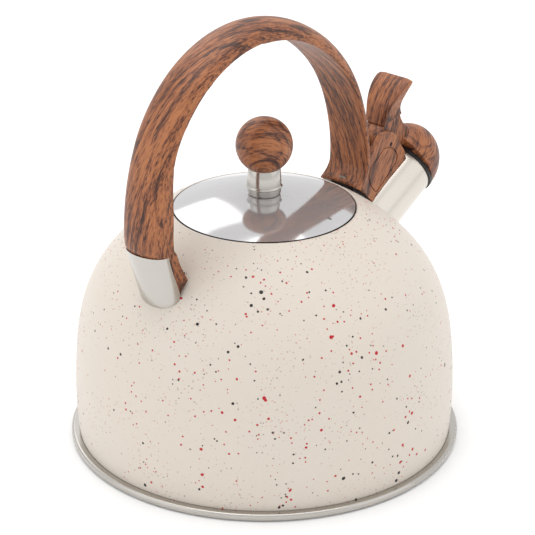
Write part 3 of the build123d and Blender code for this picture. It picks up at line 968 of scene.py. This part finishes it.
@dataclass
class Grip:
    """The wooden-looking arch with its saddle over the spout. Millimetres."""

    width: float = 27.0
    bulge: float = 8.0
    stations: int = 170
    side_points: int = 19
    corner: float = 0.7
    scallop: float = 1.2
    tongue_end: float = 103.0
    tongue_round: float = 7.0
    bracket_top: float = 132.6
    bracket_sheet: float = 1.25
    toe: float = 7.3
    toe_tip: float = 123.8
    toe_rise: float = 11.0
    half_saddle: float = 9.5
    half_slot: float = 6.4
    recess_depth: float = 0.6
    pad_gap: float = 0.55
    tube_room: float = 16.25
    tube_root_room: float = 16.85
    seat_gap: float = 2.2
    pin: tuple[float, float] = (-10.25, 32.6)  # from the mouth: beyond it and above the axis
    pin_bore: float = 1.2
    pin_length: float = 20.0

    def pairs(self) -> list[tuple[float, float, float, float]]:
        """List the stations that the strap runs through.

        Returns:
            Inner x and z, then outer x and z of each, from the heel over the arch to the toe.
        """
        heel = [
            (-62.57, 96.0, -82.585, 96.0),
            (-73.21, 116.0, -89.449, 116.0),
            (-81.0, 133.0, -95.0, 133.0),
            (-81.4, 150.0, -95.4, 150.0),
        ]
        arch = [
            (-79.37, 181.4, -87.2, 185.07),
            (-60.67, 208.03, -66.49, 214.88),
            (-31.77, 223.73, -34.06, 232.33),
            (1.1, 223.98, 2.67, 233.33),
            (30.83, 211.12, 36.1, 218.8),
            (54.12, 188.16, 61.03, 192.08),
            (66.51, 156.93, 73.02, 157.26),
        ]
        leg = [(68.5, 140.0, 75.7, 140.0), (67.7, 124.0, 74.9, 124.0), (66.5, 104.0, 73.7, 104.0)]
        return heel + arch + leg

    def ring(self, inner: np.ndarray, outer: np.ndarray, hollow: float, trim: float) -> list[Vector]:
        """Outline across the strap: flat inside with crisp corners, rounded outside.

        Args:
            inner: Inner x and z on the middle plane.
            outer: Outer x and z.
            hollow: How far a finger scallop cuts into the inner face.
            trim: How much narrower it is on each side.

        Returns:
            The outline.
        """
        run = float(np.hypot(*(outer - inner)))
        way = (outer - inner) / run
        half, corner = self.width / 2 - trim, self.corner
        rise = min(self.bulge, run - 0.8)
        side = run - rise
        low = min(hollow, side - 0.6)
        flat = [(low, y) for y in np.linspace(-half + corner, half - corner, 9)]
        bend = low + corner * 0.3
        outline = flat + [(bend, half - corner * 0.3), (min(low + corner, side - 0.05), half)]
        for turn in np.linspace(math.pi / 2, -math.pi / 2, self.side_points):
            outline.append((side + rise * math.cos(turn), half * math.sin(turn)))
        outline += [(min(low + corner, side - 0.05), -half), (bend, -half + corner * 0.3)]
        spots = [(inner + way * out, y) for out, y in outline]
        return [Vector((spot[0], y, spot[1])) * MM for spot, y in spots]

    def hollow(self, x: float, z: float) -> float:
        """Measure the finger scallops on the inner side of the rear half of the arch.

        Args:
            x: Where on the inner side.
            z: Its height.

        Returns:
            How deep the scallop is there.
        """
        turn = math.degrees(math.atan2(z - 150.0, -x))
        ridges = (18.0, 34.0, 50.0, 65.0, 80.0)
        for low, high in zip(ridges, ridges[1:]):
            if low <= turn <= high:
                return self.scallop * math.sin(math.pi * (turn - low) / (high - low)) ** 0.8
        return 0.0

    def strap(self) -> tuple[bpy.types.Object, list[Vector]]:
        """Model the arch with both legs, cut to its seat.

        Returns:
            The strap and the line of its grain.
        """
        rows = through(self.pairs(), self.stations)
        rings, middle = [], []
        for x_in, z_in, x_out, z_out in rows:
            inner, outer = np.array((x_in, z_in)), np.array((x_out, z_out))
            on_heel = x_out < 0 and z_out < self.bracket_top
            if on_heel:
                inner[0] += self.bracket_sheet
                outer[0] += self.bracket_sheet
            if x_in > 0:
                share = (self.toe_tip + self.toe_rise - z_in) / (self.toe_rise - 1)
                share = min(max(share, 0.0), 1.0)
                inner[0] -= self.toe * share**2.2
            depth = 0.0 if on_heel or x_in > 0 else self.hollow(x_in, z_in)
            left = max(z_in - self.tongue_end, 0.0) if x_in < 0 else self.tongue_round
            short = max(self.tongue_round - left, 0.0)
            trim = self.tongue_round - math.sqrt(self.tongue_round**2 - short**2)
            rings.append(self.ring(inner, outer, depth, trim))
            middle.append(Vector(((inner + outer)[0] / 2, 0, (inner + outer)[1] / 2)) * MM)
        piece = loft("grip_strap", rings, 32.0)
        cut(piece, [Dome().cutter("leg_seat", self.seat_gap, 20, 84)])
        return piece, middle

    def pad_outline(self, shrink: float) -> list[tuple[float, float]]:
        """Rounded outline of the raised pad on each cheek.

        Args:
            shrink: How much smaller than the recess it is.

        Returns:
            Its corners, as x and z.
        """
        corners = [(-32.8, 16.6), (-14.0, 19.2), (-9.6, 21.2), (-8.7, 24.4), (-9.6, 28.4)]
        corners += [(-12.2, 32.6), (-15.6, 34.6), (-20.0, 34.4), (-32.0, 31.5), (-34.0, 20.0)]
        smooth = through(corners + corners[:1], 44)[:-1]
        middle = smooth.mean(axis=0)
        spans = np.sqrt(((smooth - middle) ** 2).sum(axis=1))
        shrunk = middle + (smooth - middle) * (1 - shrink / spans)[:, None]
        spout = SpoutLine()
        return [spout.at(*corner) for corner in shrunk]

    def saddle(self) -> bpy.types.Object:
        """Model the block between the front leg and the spout, with its two ears.

        Returns:
            The saddle.
        """
        spout = SpoutLine()
        half = self.half_saddle
        outline = [spout.at(-34.9, 14.0), spout.at(-2.7, 18.4), spout.at(-4.7, 36.3), spout.at(-11.2, 43.7)]
        outline += [spout.at(-30.3, 38.9), (69.6, 136.2), (69.6, 111.0), (80.5, 100.0)]
        piece = prism("grip_saddle", outline, -half, half)
        round_corners(piece, 1.8, lambda x, z: x > 74 and z > 128)
        soften_rims(piece, 0.5, half)
        fill = [spout.at(-34.9, 12), spout.at(-3.3, 12), spout.at(-3.3, 19.6), spout.at(-34.9, 19.6)]
        cut(piece, [prism("tube_fill", fill, 1 - half, half - 1)], "UNION")
        slot = [spout.at(-31, 21.7), spout.at(4, 21.7), spout.at(4, 60), spout.at(-31, 60)]
        cutters = [prism("slot", slot, -self.half_slot, self.half_slot)]
        for side in (-1, 1):
            low, high = sorted((side * (half - self.recess_depth), side * (half + 2)))
            cutters.append(prism("recess", self.pad_outline(0.0), low, high))
        cutters.append(rod("pin_hole", spout.at(*self.pin), self.pin_bore, self.pin_length))
        cutters.append(Dome().cutter("saddle_seat", self.seat_gap, 20, 95))
        wide, narrow = self.tube_root_room, self.tube_room
        tube = [(-60, 0), (-60, wide), (-36.4, wide), (0, narrow), (6, narrow), (6, 0)]
        room = [(along * MM, out * MM) for along, out in tube]
        cutters.append(turned("tube_room", room, spout.origin(), spout.axis(), 90))
        cut(piece, cutters)
        for side in (-1, 1):
            low, high = sorted((side * (half - 1.5), side * (half - 0.02)))
            pad = prism("cheek_pad", self.pad_outline(self.pad_gap), low, high)
            soften_rims(pad, 0.3, half - 0.02)
            join(piece, pad)
        return shade_soft(piece)

    def build(self) -> None:
        """Model, dress and place the grip."""
        strap, line = self.strap()
        lay_grain(strap, line)
        finish_piece(strap, "kettle", "wood_grain", WoodGrain(Figure.STRAP).build(), "handle")
        saddle = self.saddle()
        spout = SpoutLine()
        lay_grain(saddle, xz([spout.at(-60, 30), spout.at(10, 31)]))
        finish_piece(saddle, "kettle", "wood_grain", WoodGrain(Figure.CHEEK).build())


@dataclass
class Cap:
    """The whistling cap and the thumb lever that opens it. Millimetres."""

    radius: float = 17.7
    wall: float = 2.2
    base: float = 2.2
    forward: float = 2.6
    lift: float = 3.8
    reach: float = 21.2
    rise: float = 20.8
    vent: float = 3.0
    vent_depth: float = 30.0
    room_straight: float = 6.0
    room_round: float = 14.0
    room_end: float = 20.0
    half_web: float = 6.0
    pin_bore: float = 1.25
    pin_length: float = 20.0
    spring_room: float = 5.6
    spring_width: float = 4.6
    side_corner: float = 3.2
    edge_round: float = 0.9
    pin: tuple[float, float] = (93.315, 140.29)
    root: tuple[float, float] = (88.0, 138.0)  # below the lever, where its grain starts
    heart: Sequence[float] = (0.101, 0.0, 0.147)  # of the hood's grain, in metres

    def shell(self) -> bpy.types.Object:
        """Model the rounded hood, hollowed behind the whistle and pierced at its pole.

        Returns:
            The hood.
        """
        spout = SpoutLine()
        clear_selection()
        bpy.ops.mesh.primitive_uv_sphere_add(segments=96, ring_count=64, radius=1.0)
        hood = bpy.context.object
        hood.name = "cap_hood"
        bpy.ops.object.mode_set(mode="EDIT")
        bpy.ops.mesh.select_all(action="SELECT")
        bpy.ops.transform.rotate(value=math.pi / 2, orient_axis="Y", center_override=(0, 0, 0))
        sizes = (self.reach * MM, self.radius * MM, self.rise * MM)
        bpy.ops.transform.resize(value=sizes, center_override=(0, 0, 0))
        bpy.ops.object.mode_set(mode="OBJECT")
        x, z = spout.at(self.forward, self.lift)
        hood.data.transform(Matrix.Rotation(-math.radians(spout.rise), 4, "Y"))
        hood.data.transform(Matrix.Translation(Vector((x, 0, z)) * MM))
        activate(hood)
        bpy.ops.object.mode_set(mode="EDIT")
        bpy.ops.mesh.select_all(action="SELECT")
        plane = spout.origin() + spout.axis() * (self.base * MM)
        bpy.ops.mesh.bisect(plane_co=plane, plane_no=spout.axis(), use_fill=True, clear_inner=True)
        close_up(hood, 40.0)
        inner = (self.radius - self.wall) * MM
        room = [(-MM, 0), (-MM, inner), (self.room_straight * MM, inner)]
        for turn in np.radians(np.linspace(10, 80, 8)):
            along = self.room_straight + self.room_round * math.sin(turn)
            room.append((along * MM, inner * math.cos(turn)))
        room.append((self.room_end * MM, 0))
        hollow = turned("hollow", room, spout.origin(), spout.axis(), 72)
        deep, wide = self.vent_depth * MM, self.vent * MM
        hole = [(0, 0), (0, wide), (deep, wide), (deep, 0)]
        cut(hood, [hollow, turned("vent", hole, spout.origin(), spout.axis(), 48)])
        return shade_soft(hood)

    def paddle(self) -> tuple[bpy.types.Object, list[Vector]]:
        """Model the curved thumb plate, wide at the top.

        Returns:
            The plate and the line of its grain.
        """
        rows = [
            (90.1, 151.2, 105.6, 154.6, 7.1),
            (91.2, 155.6, 104.2, 157.8, 7.4),
            (92.6, 160.0, 103.9, 161.6, 8.3),
            (95.2, 164.2, 104.7, 165.2, 9.6),
            (98.9, 168.5, 106.8, 169.2, 10.8),
            (103.2, 172.2, 108.9, 171.8, 11.3),
            (107.4, 174.75, 109.9, 173.1, 11.3),
        ]
        sampled = through(rows, 46)
        rings, line = [], []
        last = sampled[-1]
        for x_back, z_back, x_front, z_front, half in sampled:
            left = math.hypot(last[0] - x_back, last[1] - z_back)
            half -= self.rounding(self.side_corner, left)
            trim = self.rounding(self.edge_round, left)
            back, front = np.array((x_back, z_back)), np.array((x_front, z_front))
            way = (front - back) / np.hypot(*(front - back))
            rings.append(self.plate_ring(back + way * trim, front - way * trim, half))
            line.append(Vector((x_back, 0, z_back)) * MM)
        return loft("thumb_paddle", rings, 40.0), line

    @staticmethod
    def rounding(radius: float, left: float) -> float:
        """Measure how far a rounded end draws in.

        Args:
            radius: The rounding's radius.
            left: Distance to the end.

        Returns:
            The draw-in, 0 where the end is further off than the radius.
        """
        short = max(radius - left, 0.0)
        return radius - math.sqrt(radius**2 - short**2)

    def plate_ring(self, back: np.ndarray, front: np.ndarray, half: float) -> list[Vector]:
        """Rounded outline across the thumb plate.

        Args:
            back: Its back face, x and z.
            front: Its front face.
            half: Half its width.

        Returns:
            The outline.
        """
        run = float(np.hypot(*(front - back)))
        way = (front - back) / run
        corner = min(1.1, run * 0.35)
        outline = []
        for out, side, start in ((run, 1, 0), (0, 1, 90), (0, -1, 180), (run, -1, 270)):
            for turn in np.radians(start + np.linspace(0, 90, 5)):
                outward = (run - corner if out else corner) + corner * math.cos(turn)
                outline.append((outward, side * (half - corner) + corner * math.sin(turn)))
        outline = self.split_long(outline)
        spots = [(back + way * out, y) for out, y in outline]
        return [Vector((spot[0], y, spot[1])) * MM for spot, y in spots]

    @staticmethod
    def split_long(outline: list[tuple[float, float]]) -> list[tuple[float, float]]:
        """Quarter each of the four straight sides of an outline with four rounded corners.

        Args:
            outline: Its points, as many on each corner.

        Returns:
            The outline with three more points on each side.
        """
        count = len(outline)
        corner = count // 4
        out = []
        for index, point in enumerate(outline):
            out.append(point)
            if index % corner == corner - 1:
                after = outline[(index + 1) % count]
                for share in (0.25, 0.5, 0.75):
                    out.append(tuple(a + (b - a) * share for a, b in zip(point, after)))
        return out

    def web(self) -> bpy.types.Object:
        """Model the narrow web and knuckle between the ears.

        Returns:
            The web.
        """
        spout = SpoutLine()
        pin = self.pin
        back = [(84.7, 145.5), (86.8, 147.6), (88.9, 149.4), (91.4, 150.9), (92.3, 153.6)]
        front = [(105.0, 157.6), (105.3, 154.4), (106.3, 151.2)]
        front += [(108.0, 148.4), (110.4, 146.0), (113.6, 143.8)]
        dome = [spout.at(8, self.radius + 1), spout.at(3, self.radius + 1)]
        dome += [spout.at(-1.8, 22.0), spout.at(-7, 25.5)]
        spans = zip(np.radians(np.linspace(300, 165, 14)), np.linspace(5, 9.9, 14))
        knuckle = [(pin[0] + out * math.cos(t), pin[1] + out * math.sin(t)) for t, out in spans]
        outline = knuckle + back + front + dome
        piece = prism("lever_web", outline, -self.half_web, self.half_web)
        soften_rims(piece, 0.8, self.half_web, 3)
        hole = rod("pin_hole", pin, self.pin_bore, self.pin_length)
        cut(piece, [hole, rod("spring_room", pin, self.spring_room, self.spring_width)])
        return shade_soft(piece)

    def build(self) -> None:
        """Model, dress and place the cap."""
        spout = SpoutLine()
        shell = self.shell()
        lay_grain(shell, xz([spout.at(-10, -6), spout.at(40, 6)]))
        finish_piece(shell, "cap", "wood_grain", WoodGrain(Figure.DOME, self.heart).build(), "cap_lever")
        paddle, line = self.paddle()
        below = xz([self.root])
        lay_grain(paddle, below + line)
        finish = WoodGrain(Figure.PADDLE).build()
        finish_piece(paddle, "cap", "wood_grain", finish)
        web = self.web()
        lay_grain(web, below + line)
        finish_piece(web, "cap", "wood_grain", finish)


# ---------------------------------------------------------------- studio


@dataclass
class Studio:
    """Pale floor, soft lights and the camera."""

    eye: Sequence[float] = (-0.8405, -0.7568, 0.6027)
    aim: Sequence[float] = (65.81, 0.0, -48.086)
    lens: float = 157.08
    floor_reach: float = 9.0
    air: float = 0.93
    boxes: Sequence[tuple[str, Sequence[float], float, float]] = (
        ("left_box", (-1.6, 0.7, 1.0), 1.8, 4.0),
        ("right_box", (0.8, -1.7, 1.1), 1.8, 3.0),
        ("top_box", (0.1, 0.2, 1.9), 1.6, 14.0),
        ("back_box", (0.63, 1.36, 1.17), 0.8, 2.2),
    )

    def floor(self) -> None:
        """Lay the floor."""
        bpy.ops.mesh.primitive_plane_add(size=self.floor_reach)
        ground = bpy.context.object
        ground.name = "floor"
        shade = Shade("floor_paper")
        grain = shade.noise(shade.place(), 160.0, 3.0)
        tone = shade.mix(grain, tint(250, 250, 250), tint(246, 246, 246))
        shade.wire(Base_Color=tone, Roughness=0.9, Specular_IOR_Level=0.1)
        ground.data.materials.append(shade.material)

    def softbox(self, name: str, place: Sequence[float], size: float, power: float) -> None:
        """Hang a square soft light that faces the kettle.

        Args:
            name: Its name.
            place: Where it hangs.
            size: The length of its side.
            power: Its output in watts.
        """
        bpy.ops.object.light_add(type="AREA", location=place)
        lamp = bpy.context.object
        lamp.name = name
        lamp.data.shape = "SQUARE"
        lamp.data.size = size
        lamp.data.energy = power
        heading = Vector((0, 0, 0.1)) - Vector(place)
        lamp.rotation_euler = heading.to_track_quat("-Z", "Y").to_euler()

    def sky(self) -> None:
        """Surround everything with even pale light."""
        world = bpy.data.worlds.new("studio_air")
        world.use_nodes = True
        world.node_tree.nodes["Background"].inputs[0].default_value = (1.0, 1.0, 1.0, 1.0)
        world.node_tree.nodes["Background"].inputs[1].default_value = self.air
        bpy.context.scene.world = world

    def camera(self) -> None:
        """Set up the camera."""
        bpy.ops.object.camera_add(location=self.eye, rotation=[math.radians(a) for a in self.aim])
        camera = bpy.context.object
        camera.data.lens = self.lens
        camera.data.clip_start = 0.01
        bpy.context.scene.camera = camera

    def build(self) -> None:
        """Set up the whole studio."""
        self.camera()
        self.floor()
        self.sky()
        for box in self.boxes:
            self.softbox(*box)
        bpy.context.scene.view_settings.view_transform = "Standard"


def main() -> None:
    """Build and dress the kettle, one sub-assembly after another."""
    logging.basicConfig(level=logging.INFO, format="%(message)s")
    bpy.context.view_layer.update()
    Studio().build()
    for part in (Body(), Lid(), Knob(), Spout(), Whistle(), Grip(), Cap()):
        part.build()


if __name__ == "__main__":
    main()
